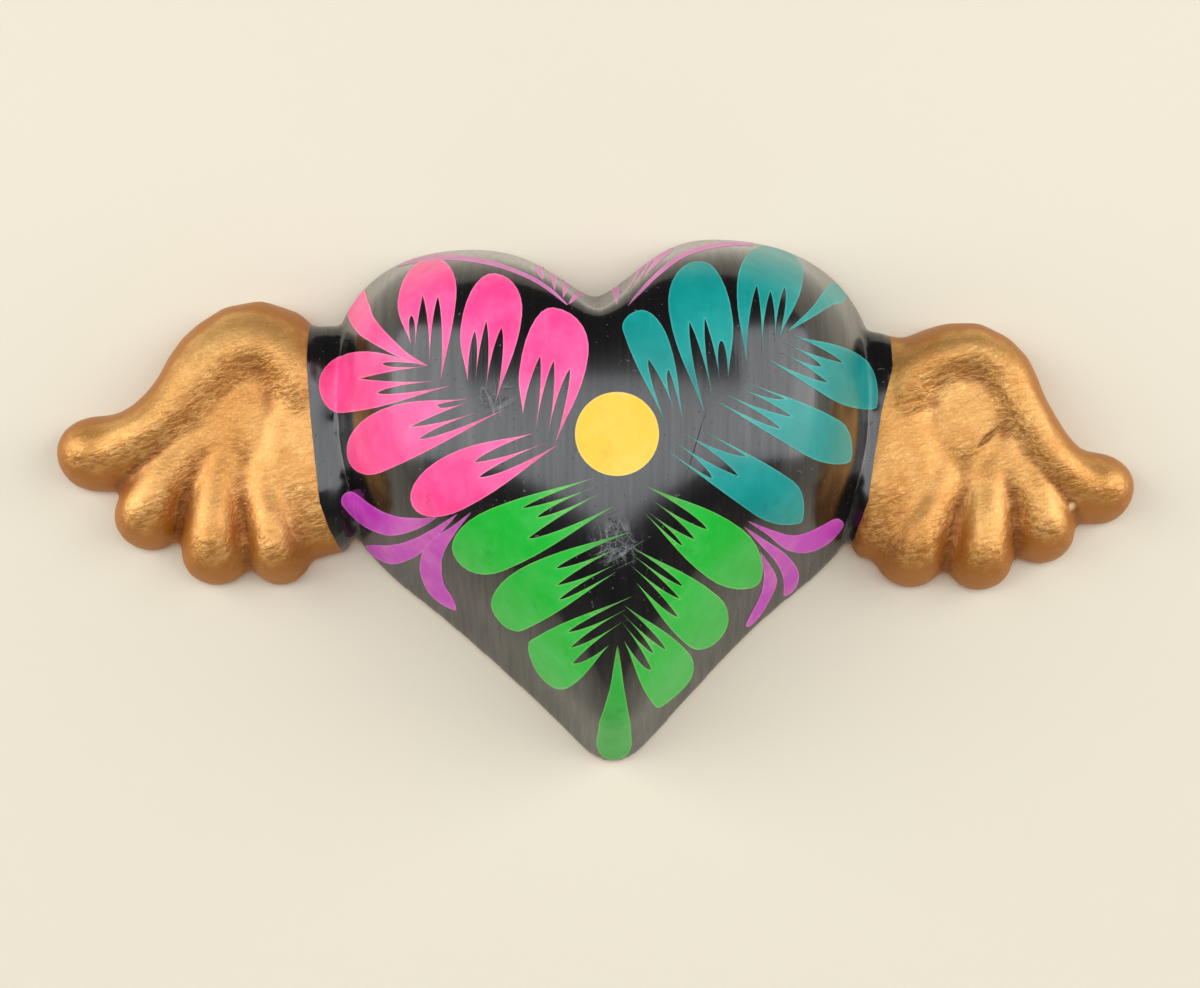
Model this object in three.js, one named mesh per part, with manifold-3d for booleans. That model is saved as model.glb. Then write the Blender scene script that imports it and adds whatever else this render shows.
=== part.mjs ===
// Winged heart wall ornament in painted clay: a hollow domed heart, two feathered wings, the necks
// that join them, and a steel wire behind that hangs on one nail.
// Millimetres. X runs to the viewer's right, Z up, the face looks along -Y and the wall is y = 0.
// The origin is the point on the wall below which the nail carries the wire.

import * as THREE from 'three';
import { mergeVertices } from 'three/addons/utils/BufferGeometryUtils.js';
import Module from 'manifold-3d';

// Heart outline, where it meets the wall
const heartWidth = 94;
const heartAxis = 0.5; // the heart's own middle, right of the nail
const flankDrop = 7; // its widest place, below the nail
const cleftRise = 12.6;
const cleftShift = -1.4;
const tipDrop = 65.8;
const tipShift = 1.6; // the tip leans to the right
const tipRadius = 4.6;
const tipSideRise = 2.1; // where the round of the tip starts, above the tip
const hipInset = 15.5; // where the side straightens towards the tip, in from the flank
const hipRise = 27.6; // the same place, above the tip

// The top of each lobe, out from the heart's middle and up from the nail, and how far the outline
// runs on from there inward and outward, and up from the flank, before it bends
const leftLobe = { reach: 22, rise: 21.2, inward: 10, outward: 16.5, up: 19 };
const rightLobe = { reach: 18, rise: 23, inward: 8.5, outward: 16, up: 23 };

// How far the other stretches of the outline run on in their own direction before they bend
const cleftPull = { out: 7.5, up: 4 };
const flankPull = 18; // down
const hipPull = { out: 7.1, up: 5.5, inward: 8, down: 6 };
const tipPull = { out: 6.1, up: 6.4, round: 1.7 };

// Heart section, from the wall to the crown
const heartDepth = 36;
const sideHeight = 16;
const sideDraft = 20; // degrees
const rimRound = 0.9; // how far the back edge is softened
const rimEase = 0.3; // where its round is widest, in both directions
const shoulderRise = 13; // how far the side carries on towards its own line before it turns over
const crownFlatness = 0.72; // share of the way out to the shoulder that the crown pulls level
const crownRadius = 37; // what the rings tend to at the crown
const crownDrop = 12; // the crown, below the nail
const crownShift = 0.5;
const shellWall = 4.6;

const clearance = 0.3; // between any two pieces that are luted or pressed together

// Wings: every form runs along a path, measured outward from the flank and up from the nail
// and the seam between neck and wing is measured the same way
const leftSeam = [[1.6, 12], [1.5, -8], [0.3, -20], [-2.6, -29], [-7.5, -38]];
const rightSeam = [[1.4, 12], [1.2, -6], [0, -17], [-2.6, -27], [-7, -38]];
const rootCrest = 10.2;
const palmCrest = 9.9;
const webCrest = 7; // the web of clay left between the feathers
const armCrest = 12.2; // between its ends
const featherCrest = 10.8;

const leftRoot = [[-9, -12], [0, -12], [7, -11], [14, -9.5]];
const leftPalm = [[3, -9], [13, -7.5], [26, -11.5]];
const leftWeb = [[5, -24.5], [14, -24.5], [23, -22]];
const leftArm = [[2.4, -18], [2.6, -10], [4.4, -1], [8.4, 2.9], [13, 3], [18.6, -1.2], [24.4, -8.4],
  [32.6, -13.6], [44.2, -14]];
const leftOuterFeather = [[13, -7], [22, -14.8], [27.2, -22.4], [30.6, -30]];
const leftMiddleFeather = [[12, -8], [16, -19], [17, -28], [16.8, -36.3]];
const leftInnerFeather = [[9, -8.5], [8.4, -20], [6.8, -29], [5.8, -36.2]];

const rightRoot = [[-9, -13], [0, -13], [7, -12], [13, -11]];
const rightPalm = [[3, -10], [13, -8.5], [23, -12.5]];
const rightWeb = [[3, -25], [12, -25.5], [21, -24.5]];
const rightArm = [[2, -19], [2.4, -10.5], [4.8, -1.6], [9.4, 1], [14.8, 1.8], [19, -1.2], [22.2, -8.2],
  [30.4, -18.9], [41.5, -20.2]];
const rightOuterFeather = [[12.5, -8.5], [20, -15.5], [24.6, -22.6], [26.6, -32.6]];
const rightMiddleFeather = [[12.5, -9], [16, -18], [15.8, -27], [14.6, -37.1]];
const rightInnerFeather = [[10, -10], [8.2, -20], [4.8, -28], [2.2, -36.4]];

// Half widths of the same forms, at even steps along them
const rootHalfHeights = [19.8, 19.8, 18, 11];
const palmHalfWidths = [12, 10.5, 7.5];
const webHalfWidths = [7.5, 8.5, 6.5];
const leftArmHalfWidths = [5, 5.6, 7, 8.6, 8.2, 6.8, 6.2, 6.5, 5.8];
const rightArmHalfWidths = [5, 5.6, 6.6, 6.4, 6, 5.6, 5.4, 6.2, 5.7];
const slimFeather = [6.5, 5.7, 5.6, 5.3];
const plainFeather = [6.5, 5.9, 5.8, 5.9];
const broadFeather = [6.5, 5.9, 5.9, 6.6];
const rootFullness = 3; // 2 is a plain oval section, more is squarer
const palmFullness = 4;
const featherDive = 3; // how far below the palm a feather starts, to rise out of it slowly
const featherFall = 0.6; // at its end

// Hanging wire and its pads
const wireDiameter = 1.8;
const wireStandOff = 6; // its middle, in front of the wall
const wireFall = 9; // from the nail down to where it enters the pads
const wireBend = 6; // half the length of the bend over the nail
const wireBuried = 6;
const padRadius = 8;
const padDepth = 10; // from the shell inward
const padHeight = 6.4; // half of it, square to the wall
const padShift = 1; // its middle, further from the wall than the wire
const padSag = 1.2; // its middle, below where the wire enters

// Fineness of the surfaces
const heartSteps = 96;
const wallRings = 3;
const domeRings = 13;
const sectionSteps = 20;
const fingerRingStep = 3;
const capRings = 4;
const seamSteps = 18;
const wireSteps = 30;
const wireSides = 10;
const padSteps = 20;

const samePoint = 0.00001; // points closer than this are one

const wasm = await Module();
wasm.setup();

const radians = THREE.MathUtils.degToRad;
const halfWidth = heartWidth / 2;
const crown = new THREE.Vector2(heartAxis + crownShift, -crownDrop);

// A place given in the plane of the wall and its height in front of it
function place(x, z, height) {
  return new THREE.Vector3(x, -height, z);
}

// Closed skin over rings of equal count, with a fan to a point at each end
function skin(rings, first, last) {
  const around = rings[0].length;
  const points = [...rings.flat(), first, last];
  const firstIndex = points.length - 2;
  const lastIndex = points.length - 1;
  const index = [];
  for (let i = 0; i < around; i += 1) {
    const next = (i + 1) % around;
    index.push(firstIndex, next, i);
    for (let j = 0; j < rings.length - 1; j += 1) {
      const low = j * around;
      const high = low + around;
      index.push(low + i, low + next, high + next);
      index.push(low + i, high + next, high + i);
    }
    const top = (rings.length - 1) * around;
    index.push(lastIndex, top + i, top + next);
  }
  const geometry = new THREE.BufferGeometry();
  const numbers = points.flatMap((point) => point.toArray());
  geometry.setAttribute('position', new THREE.Float32BufferAttribute(numbers, 3));
  geometry.setIndex(index);
  return geometry;
}

function toSolid(geometry) {
  const bare = geometry.clone();
  bare.deleteAttribute('normal');
  bare.deleteAttribute('uv');
  const merged = mergeVertices(bare, samePoint);
  return new wasm.Manifold(new wasm.Mesh({
    numProp: 3,
    vertProperties: new Float32Array(merged.attributes.position.array),
    triVerts: new Uint32Array(merged.index.array),
  }));
}

function toGeometry(solid) {
  const mesh = solid.getMesh();
  const geometry = new THREE.BufferGeometry();
  geometry.setAttribute('position', new THREE.BufferAttribute(mesh.vertProperties, 3));
  geometry.setIndex(new THREE.BufferAttribute(mesh.triVerts, 1));
  geometry.computeVertexNormals();
  return geometry;
}

// Heart

// One side of the outline, from the cleft to the tip, as cubic curves
function heartSide(side, lobe) {
  const from = (point, out, up) => new THREE.Vector2(point.x + side * out, point.y + up);
  const middle = new THREE.Vector2(heartAxis, 0);
  const cleft = new THREE.Vector2(heartAxis + cleftShift, cleftRise);
  const lobeTop = from(middle, lobe.reach, lobe.rise);
  const flank = from(middle, halfWidth, -flankDrop);
  const hip = from(middle, halfWidth - hipInset, hipRise - tipDrop);
  const tip = new THREE.Vector2(heartAxis + tipShift, -tipDrop);
  const tipSide = from(tip, tipRadius, tipSideRise);
  return [
    [cleft, from(cleft, cleftPull.out, cleftPull.up), from(lobeTop, -lobe.inward, 0), lobeTop],
    [lobeTop, from(lobeTop, lobe.outward, 0), from(flank, 0, lobe.up), flank],
    [flank, from(flank, 0, -flankPull), from(hip, hipPull.out, hipPull.up), hip],
    [hip, from(hip, -hipPull.inward, -hipPull.down), from(tipSide, tipPull.out, tipPull.up), tipSide],
    [tipSide, from(tipSide, -tipPull.round, -tipPull.round), from(tip, tipPull.round, 0), tip],
  ];
}

// The whole outline, counter-clockwise seen from the front, as evenly spaced points
function heartOutline(count) {
  const path = new THREE.CurvePath();
  const left = heartSide(-1, leftLobe);
  const right = heartSide(1, rightLobe).reverse().map((points) => points.reverse());
  for (const points of [...left, ...right]) {
    path.add(new THREE.CubicBezierCurve(...points));
  }
  return path.getSpacedPoints(count).slice(0, count);
}

const behindWall = 4; // how far a cutting body reaches past the back
const leastSpread = 0.7; // keeps a grown outline from running out to a spike at the tip

// The heart as a full body, grown all round by a distance, reaching a little behind the wall
function heartBody(grow, behind) {
  const rim = heartOutline(heartSteps);
  const rays = rim.map((point, i) => {
    const before = rim[(i + heartSteps - 1) % heartSteps];
    const after = rim[(i + 1) % heartSteps];
    const along = after.clone().sub(before).normalize();
    const normal = new THREE.Vector2(along.y, -along.x);
    const ray = point.clone().sub(crown);
    const direction = ray.clone().normalize();
    const spread = Math.max(Math.abs(normal.dot(direction)), leastSpread);
    return { direction, length: ray.length() + grow / spread };
  });
  const draft = Math.tan(radians(sideDraft));
  const ring = (height, radius) => rays.map((ray) => {
    const reach = radius(ray);
    return place(crown.x + ray.direction.x * reach, crown.y + ray.direction.y * reach, height);
  });
  const rings = [];
  if (behind > 0) {
    rings.push(ring(-behind, (ray) => ray.length));
  } else {
    rings.push(ring(0, (ray) => ray.length - rimRound));
    rings.push(ring(rimEase, (ray) => ray.length - rimEase));
  }
  for (let j = 0; j <= wallRings; j += 1) {
    const height = THREE.MathUtils.lerp(behind > 0 ? 0 : rimRound, sideHeight, j / wallRings);
    rings.push(ring(height, (ray) => ray.length - height * draft));
  }
  const lean = (shoulderRise * draft) / (crownRadius - sideHeight * draft);
  const dome = new THREE.CubicBezierCurve(
    new THREE.Vector2(1, sideHeight),
    new THREE.Vector2(1 - lean, sideHeight + shoulderRise),
    new THREE.Vector2(crownFlatness, heartDepth + grow),
    new THREE.Vector2(0, heartDepth + grow),
  );
  for (let j = 1; j < domeRings; j += 1) {
    const { x: share, y: height } = dome.getPoint(j / domeRings);
    const heartShare = THREE.MathUtils.smoothstep(share, 0, 1);
    rings.push(ring(height, (ray) => {
      const shoulder = ray.length - sideHeight * draft;
      return share * THREE.MathUtils.lerp(crownRadius, shoulder, heartShare);
    }));
  }
  const back = place(crown.x, crown.y, -behind);
  return toSolid(skin(rings, back, place(crown.x, crown.y, heartDepth + grow)));
}

const heart = heartBody(0, 0);
const heartCavity = heartBody(-shellWall, behindWall);
const heartWithClearance = heartBody(clearance, behindWall);
const cavityWithClearance = heartBody(-shellWall - clearance, behindWall);
const heartShell = heart.subtract(heartCavity);

// Wings

const bluntest = 0.35; // most of a finger's length that one round end takes

// A value at a share of the way along a list of values
function along(values, share) {
  if (values.length === 1) {
    return values[0];
  }
  const step = share * (values.length - 1);
  const before = Math.min(Math.floor(step), values.length - 2);
  const between = THREE.MathUtils.smoothstep(step - before, 0, 1);
  return THREE.MathUtils.lerp(values[before], values[before + 1], between);
}

// A round-ended body along a path in the plane of the wall, half of it behind the wall
function finger(side, { path, halfWidths, crests, fullness = 2 }) {
  const flank = heartAxis + side * halfWidth;
  const curve = new THREE.CatmullRomCurve3(path.map(([out, up]) => place(flank + side * out, up, 0)));
  const length = curve.getLength();
  const stations = [];
  for (const atEnd of [false, true]) {
    const endLength = Math.min(along(halfWidths, atEnd ? 1 : 0), length * bluntest);
    const round = [];
    for (let k = 1; k <= capRings; k += 1) {
      const turn = (k / capRings) * (Math.PI / 2);
      const share = (endLength * (1 - Math.cos(turn))) / length;
      round.push({ share: atEnd ? 1 - share : share, scale: Math.sin(turn) });
    }
    if (atEnd) {
      const first = stations[stations.length - 1].share;
      const last = round[round.length - 1].share;
      const steps = Math.ceil(((last - first) * length) / fingerRingStep);
      for (let k = 1; k < steps; k += 1) {
        stations.push({ share: THREE.MathUtils.lerp(first, last, k / steps), scale: 1 });
      }
      round.reverse();
    }
    stations.push(...round);
  }
  const rings = stations.map(({ share, scale }) => {
    const middle = curve.getPointAt(share);
    const tangent = curve.getTangentAt(share);
    const across = place(-tangent.z, tangent.x, 0);
    const halfWidthHere = along(halfWidths, share) * scale;
    const crestHere = along(crests, share) * scale;
    const ring = [];
    for (let i = 0; i < sectionSteps; i += 1) {
      const turn = (i / sectionSteps) * Math.PI * 2;
      const wide = Math.sign(Math.cos(turn)) * Math.abs(Math.cos(turn)) ** (2 / fullness);
      const high = Math.sign(Math.sin(turn)) * Math.abs(Math.sin(turn)) ** (2 / fullness);
      const point = middle.clone().addScaledVector(across, wide * halfWidthHere);
      point.y -= high * crestHere;
      ring.push(point);
    }
    return ring;
  });
  return toSolid(skin(rings, curve.getPointAt(0), curve.getPointAt(1)));
}

// Heights of the forms, at even steps along them
const rootCrests = [rootCrest, rootCrest, rootCrest, palmCrest];
const armCrests = [
  rootCrest, rootCrest, armCrest, armCrest, armCrest, armCrest, armCrest, rootCrest, palmCrest,
];
const featherCrests = [palmCrest - featherDive, palmCrest, featherCrest, featherCrest - featherFall];

const leftWingForms = [
  { path: leftRoot, halfWidths: rootHalfHeights, crests: rootCrests, fullness: rootFullness },
  { path: leftPalm, halfWidths: palmHalfWidths, crests: [palmCrest], fullness: palmFullness },
  { path: leftWeb, halfWidths: webHalfWidths, crests: [webCrest] },
  { path: leftArm, halfWidths: leftArmHalfWidths, crests: armCrests },
  { path: leftOuterFeather, halfWidths: broadFeather, crests: featherCrests },
  { path: leftMiddleFeather, halfWidths: broadFeather, crests: featherCrests },
  { path: leftInnerFeather, halfWidths: slimFeather, crests: featherCrests },
];

const rightWingForms = [
  { path: rightRoot, halfWidths: rootHalfHeights, crests: rootCrests, fullness: rootFullness },
  { path: rightPalm, halfWidths: palmHalfWidths, crests: [palmCrest], fullness: palmFullness },
  { path: rightWeb, halfWidths: webHalfWidths, crests: [webCrest] },
  { path: rightArm, halfWidths: rightArmHalfWidths, crests: armCrests },
  { path: rightOuterFeather, halfWidths: plainFeather, crests: featherCrests },
  { path: rightMiddleFeather, halfWidths: plainFeather, crests: featherCrests },
  { path: rightInnerFeather, halfWidths: broadFeather, crests: featherCrests },
];

const reach = 200; // longer than any piece, for the cutting bodies

// Everything on the outer side of the seam between neck and wing, moved outward by a distance
function outsideSeam(side, seam, shift) {
  const flank = heartAxis + side * halfWidth;
  const at = (out, up) => new THREE.Vector2(flank + side * out, up);
  const curve = new THREE.SplineCurve(seam.map(([out, up]) => at(out + shift, up)));
  const shape = new THREE.Shape([
    at(reach, -reach),
    at(reach, reach),
    at(seam[0][0] + shift, reach),
    ...curve.getPoints(seamSteps),
    at(seam[seam.length - 1][0] + shift, -reach),
  ]);
  const prism = new THREE.ExtrudeGeometry(shape, { depth: reach, bevelEnabled: false, steps: 1 });
  prism.rotateX(Math.PI / 2);
  prism.translate(0, behindWall, 0);
  return toSolid(prism);
}

const behindBox = new THREE.BoxGeometry(reach * 2, reach, reach * 2);
behindBox.translate(0, reach / 2, 0);
const behindTheWall = toSolid(behindBox);

function wholeWing(side, forms) {
  const bodies = forms.map((form) => finger(side, form));
  return bodies.reduce((sum, body) => sum.add(body)).subtract(behindTheWall);
}

function wingAndNeck(side, forms, seam) {
  const whole = wholeWing(side, forms).subtract(heartWithClearance);
  const wing = whole.intersect(outsideSeam(side, seam, clearance / 2));
  const neck = whole.subtract(outsideSeam(side, seam, -clearance / 2));
  return { wing, neck };
}

const left = wingAndNeck(-1, leftWingForms, leftSeam);
const right = wingAndNeck(1, rightWingForms, rightSeam);

// Hanging wire

const wireRadius = wireDiameter / 2;
const padInner = halfWidth - shellWall - padDepth; // where the wire enters, out from the nail
const wireEndDrop = wireRadius - wireFall;
const bendShare = wireBend / padInner;
const bendPeak = wireRadius + (wireFall * bendShare) / (2 - bendShare); // the bend rounds off below it

// From one pad up over the nail and down to the other, with some extra length at each end
function wirePath(extra) {
  const peak = place(0, bendPeak, wireStandOff);
  const entry = (side) => place(side * padInner, wireEndDrop, wireStandOff);
  const end = (side) => {
    const direction = entry(side).sub(peak).normalize();
    return entry(side).addScaledVector(direction, wireBuried + extra);
  };
  const bend = (side) => peak.clone().lerp(entry(side), bendShare);
  const path = new THREE.CurvePath();
  path.add(new THREE.LineCurve3(end(-1), bend(-1)));
  path.add(new THREE.QuadraticBezierCurve3(bend(-1), peak, bend(1)));
  path.add(new THREE.LineCurve3(bend(1), end(1)));
  return path;
}

function tubeAlong(path, radius) {
  const section = new THREE.Shape();
  section.absarc(0, 0, radius, 0, Math.PI * 2, false);
  return new THREE.ExtrudeGeometry(section, {
    steps: wireSteps, curveSegments: wireSides / 2, extrudePath: path, bevelEnabled: false,
  });
}

const wire = tubeAlong(wirePath(0), wireRadius);
const wireHole = toSolid(tubeAlong(wirePath(clearance), wireRadius + clearance));

function wirePad(side) {
  const wad = new THREE.SphereGeometry(1, padSteps, padSteps / 2);
  wad.scale(padDepth, padHeight, padRadius);
  const shellX = heartAxis + side * (halfWidth - shellWall);
  const middle = place(shellX, wireEndDrop - padSag, wireStandOff + padShift);
  wad.translate(...middle.toArray());
  return toSolid(wad).intersect(cavityWithClearance).subtract(wireHole);
}

// Finishes

function finish(color, roughness, metalness) {
  return new THREE.MeshStandardMaterial({ color, roughness, metalness });
}

const blackLacquer = () => finish('#120b0d', 0.14, 0);
const goldPaint = () => finish('#c88c3c', 0.42, 0.55);
const bareClay = () => finish('#a9684a', 0.9, 0);
const steel = () => finish('#8d8f92', 0.4, 1);

const ornament = new THREE.Group();

function addPiece(name, geometry, material) {
  const piece = new THREE.Mesh(geometry, material);
  piece.name = name;
  ornament.add(piece);
}

addPiece('heart_shell', toGeometry(heartShell), blackLacquer());
addPiece('left_neck', toGeometry(left.neck), blackLacquer());
addPiece('right_neck', toGeometry(right.neck), blackLacquer());
addPiece('left_wing', toGeometry(left.wing), goldPaint());
addPiece('right_wing', toGeometry(right.wing), goldPaint());
addPiece('left_wire_pad', toGeometry(wirePad(-1)), bareClay());
addPiece('right_wire_pad', toGeometry(wirePad(1)), bareClay());
addPiece('hanging_wire', wire, steel());

export default ornament;
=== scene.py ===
from math import cos, inf, pi, radians, sin

import bmesh
import bpy
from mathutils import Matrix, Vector
from mathutils.bvhtree import BVHTree
from mathutils.geometry import interpolate_bezier


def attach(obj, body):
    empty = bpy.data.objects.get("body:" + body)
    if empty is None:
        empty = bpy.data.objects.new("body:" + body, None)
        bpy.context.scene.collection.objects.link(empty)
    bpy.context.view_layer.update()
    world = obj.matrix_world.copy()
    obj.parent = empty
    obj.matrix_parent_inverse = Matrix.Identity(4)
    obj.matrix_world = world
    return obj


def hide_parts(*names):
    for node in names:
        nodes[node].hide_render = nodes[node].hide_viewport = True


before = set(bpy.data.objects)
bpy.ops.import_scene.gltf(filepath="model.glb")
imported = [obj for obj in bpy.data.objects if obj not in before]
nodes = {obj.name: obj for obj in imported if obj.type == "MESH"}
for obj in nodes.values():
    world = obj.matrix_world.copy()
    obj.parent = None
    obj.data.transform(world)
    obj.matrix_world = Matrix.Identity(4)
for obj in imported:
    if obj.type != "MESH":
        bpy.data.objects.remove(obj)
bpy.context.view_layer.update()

MM = 0.001
WELD = 0.002 * MM  # corners nearer to each other than this are one
EVEN_SHARE = 0.5  # how far an evening takes a corner towards the middle of its neighbours

# The picture that the ornament is painted from: its middle in pixels, the size of a pixel at the wall,
# and where it was taken from
PICTURE_WIDTH = 1200
PICTURE_MIDDLE = (600, 494)
PIXEL = 0.167 * MM
VIEW_DISTANCE = 450 * MM
VIEW_PITCH = radians(8)
VIEW_AIM = Vector((0, 0, -20.7 * MM))

VIEW_LINE = Vector((0, cos(VIEW_PITCH), sin(VIEW_PITCH)))
VIEW_UP = Vector((0, -sin(VIEW_PITCH), cos(VIEW_PITCH)))
VIEW_RIGHT = Vector((1, 0, 0))
EYE = VIEW_AIM - VIEW_LINE * VIEW_DISTANCE


def sight_line(pixel):
    """The direction in which a pixel of the picture is seen."""
    across = (pixel[0] - PICTURE_MIDDLE[0]) * PIXEL
    above = (PICTURE_MIDDLE[1] - pixel[1]) * PIXEL
    return (VIEW_LINE * VIEW_DISTANCE + VIEW_RIGHT * across + VIEW_UP * above).normalized()


# Objects and meshes

def new_piece(name, mesh):
    piece = bpy.data.objects.new(name, mesh)
    bpy.context.scene.collection.objects.link(piece)
    return piece


def from_bmesh(name, bm):
    mesh = bpy.data.meshes.new(name)
    bm.to_mesh(mesh)
    bm.free()
    return new_piece(name, mesh)


def with_modifier(piece, kind, **settings):
    """Puts a modifier on a piece and makes its result the piece's own mesh."""
    modifier = piece.modifiers.new(kind, kind)
    for setting, value in settings.items():
        setattr(modifier, setting, value)
    evaluated = piece.evaluated_get(bpy.context.evaluated_depsgraph_get())
    mesh = bpy.data.meshes.new_from_object(evaluated)
    piece.modifiers.clear()
    piece.data = mesh
    return piece


def remeshed(piece, voxel):
    return with_modifier(piece, "REMESH", mode="VOXEL", voxel_size=voxel)


def smoothed(piece, times):
    return with_modifier(piece, "SMOOTH", factor=EVEN_SHARE, iterations=times)


def evened(bm, verts, times):
    for _ in range(times):
        bmesh.ops.smooth_vert(bm, verts=verts, factor=EVEN_SHARE, use_axis_x=True, use_axis_y=True,
                              use_axis_z=True)


def pushed(piece, distance):
    """Moves every vertex outward by a distance that depends on its place."""
    normals = [normal.vector.copy() for normal in piece.data.vertex_normals]
    for vertex, normal in zip(piece.data.vertices, normals):
        vertex.co += normal * distance(vertex.co)
    piece.data.update()


def subdivided(piece, levels):
    return with_modifier(piece, "SUBSURF", levels=levels, render_levels=levels)


def shade_smooth(piece):
    for face in piece.data.polygons:
        face.use_smooth = True


def set_values(piece, name, values):
    """Keeps one number for each vertex under a name that the finishes can read."""
    attribute = piece.data.attributes.new(name, "FLOAT", "POINT")
    attribute.data.foreach_set("value", values)


def smooth_step(low, high, value):
    """0 at low, 1 at high and a soft step from one to the other, whichever of them is greater."""
    share = min(max((value - low) / (high - low), 0), 1)
    return share * share * (3 - 2 * share)


def node_copy(*names, fatten=0):
    """The welded surface of some solids of the frame, pushed out all round by a distance."""
    bm = bmesh.new()
    for name in names:
        bm.from_mesh(nodes[name].data)
    bmesh.ops.remove_doubles(bm, verts=bm.verts, dist=WELD)
    bm.normal_update()
    if fatten:
        for vertex, normal in [(v, v.normal.copy()) for v in bm.verts]:
            vertex.co += normal * fatten
    return bm


# The clay: wings and necks are modelled into the flanks of the heart while it is soft, so it is one form

FUSING = 0.4 * MM
WING_VOXEL = 0.5 * MM
FORM_VOXEL = 0.58 * MM
FLAT_PAIR = radians(35)  # two triangles that meet flatter than this become one face
SQUARE_PAIR = radians(70)
HEART_LEVELS = 2
PALMS = (Vector((-59.5 * MM, 0, -10 * MM)), Vector((60.5 * MM, 0, -10 * MM)))
PALM_REACH = 8 * MM
PALM_END = 15 * MM
PALM_ROUND = 1.7 * MM
FEATHER_ROUND = 0.15 * MM
WING_EVENINGS = 10
FORM_EVENINGS = 5
NECK_EVENINGS = 14
NECK_NEAR = 40 * MM
NECK_FAR = 53 * MM
NECK_BACK = -2 * MM
NECK_TOP = 14 * MM


def crease_round(place):
    """How much the creases of a wing are filled: a palm is smoothed over, its feathers stay apart."""
    away = min((Vector((place.x, 0, place.z)) - palm).length for palm in PALMS)
    return FEATHER_ROUND + (PALM_ROUND - FEATHER_ROUND) * smooth_step(PALM_END, PALM_REACH, away)


heart_form = from_bmesh("heart_form", node_copy("heart_shell"))
heart_cage = bmesh.new()
heart_cage.from_mesh(heart_form.data)
bmesh.ops.join_triangles(heart_cage, faces=heart_cage.faces, angle_face_threshold=FLAT_PAIR,
                         angle_shape_threshold=SQUARE_PAIR)
heart_cage.to_mesh(heart_form.data)
heart_cage.free()
subdivided(heart_form, HEART_LEVELS)

wing_forms = from_bmesh("wing_forms", node_copy("left_neck", "right_neck", fatten=FUSING))
more = bmesh.new()
more.from_mesh(wing_forms.data)
for wing in ("left_wing", "right_wing"):
    more.from_mesh(nodes[wing].data)
bmesh.ops.remove_doubles(more, verts=more.verts, dist=WELD)
more.to_mesh(wing_forms.data)
more.free()
remeshed(wing_forms, WING_VOXEL)
pushed(wing_forms, crease_round)
remeshed(wing_forms, WING_VOXEL)
pushed(wing_forms, lambda place: -crease_round(place))
smoothed(wing_forms, WING_EVENINGS)

clay = bmesh.new()
clay.from_mesh(heart_form.data)
clay.from_mesh(wing_forms.data)
clay_form = from_bmesh("clay_form", clay)
remeshed(clay_form, FORM_VOXEL)
smoothed(clay_form, FORM_EVENINGS)


def at_neck(place):
    return NECK_NEAR < abs(place.x) < NECK_FAR and place.y < NECK_BACK and place.z < NECK_TOP


clay = bmesh.new()
clay.from_mesh(clay_form.data)
for vertex in clay.verts:
    vertex.co.y = min(vertex.co.y, 0)
evened(clay, [v for v in clay.verts if at_neck(v.co)], NECK_EVENINGS)
clay.to_mesh(clay_form.data)
clay.free()
clay_surface = BVHTree.FromPolygons(
    [v.co for v in clay_form.data.vertices],
    [tuple(p.vertices) for p in clay_form.data.polygons],
)
for piece in (heart_form, wing_forms):
    bpy.data.objects.remove(piece)


# Where the black of the heart ends and the gold of a wing begins, from above the wing to below it

LEFT_PAINT_EDGE = [(308, 300), (308, 362), (311, 415), (316, 464), (320, 503), (328, 527), (352, 575)]
RIGHT_PAINT_EDGE = [(892, 310), (892, 368), (881, 412), (874, 457), (868, 501), (859, 527), (846, 575)]
WING_HEIGHT = 9 * MM
NEAR_CORNER = 8 * MM
NEAR_EDGE = 12 * MM
PAST_ALL = 1  # a metre is above and below everything
ON_PLANE = 1e-7


def at_height(pixel, height):
    """The place seen at a pixel, at a height in front of the wall."""
    line = sight_line(pixel)
    return EYE + line * ((-height - EYE.y) / line.y)


def paint_edge(pixels):
    points = [at_height(pixel, WING_HEIGHT) for pixel in pixels]
    return [(p.x, p.z) for p in points]


def cut(bm, faces, place, across):
    geometry = set(faces)
    for face in faces:
        geometry.update(face.verts)
        geometry.update(face.edges)
    bmesh.ops.bisect_plane(bm, geom=list(geometry), dist=ON_PLANE, plane_co=place, plane_no=across)


def cut_along(bm, edge):
    """Cuts the clay along a paint edge, square to the wall, and gives the faces on its outer side."""
    side = 1 if edge[0][0] > 0 else -1
    for x, z in edge[1:-1]:
        near = [f for f in bm.faces if abs(f.calc_center_median().x - x) < NEAR_CORNER
                and abs(f.calc_center_median().z - z) < NEAR_CORNER]
        cut(bm, near, (x, 0, z), (0, 0, 1))
    outer = set()
    for index, ((x0, z0), (x1, z1)) in enumerate(zip(edge, edge[1:])):
        high = z0 if index else PAST_ALL
        low = z1 if index < len(edge) - 2 else -PAST_ALL
        band = [f for f in bm.faces if low < f.calc_center_median().z < high
                and abs(f.calc_center_median().x - x0) < NEAR_EDGE]
        across = Vector((z0 - z1, 0, x1 - x0)).normalized() * side
        cut(bm, band, (x0, 0, z0), across)
        for face in bm.faces:
            middle = face.calc_center_median()
            if low < middle.z <= high and (middle - Vector((x0, 0, z0))).dot(across) > 0:
                outer.add(face)
    return outer


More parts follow.
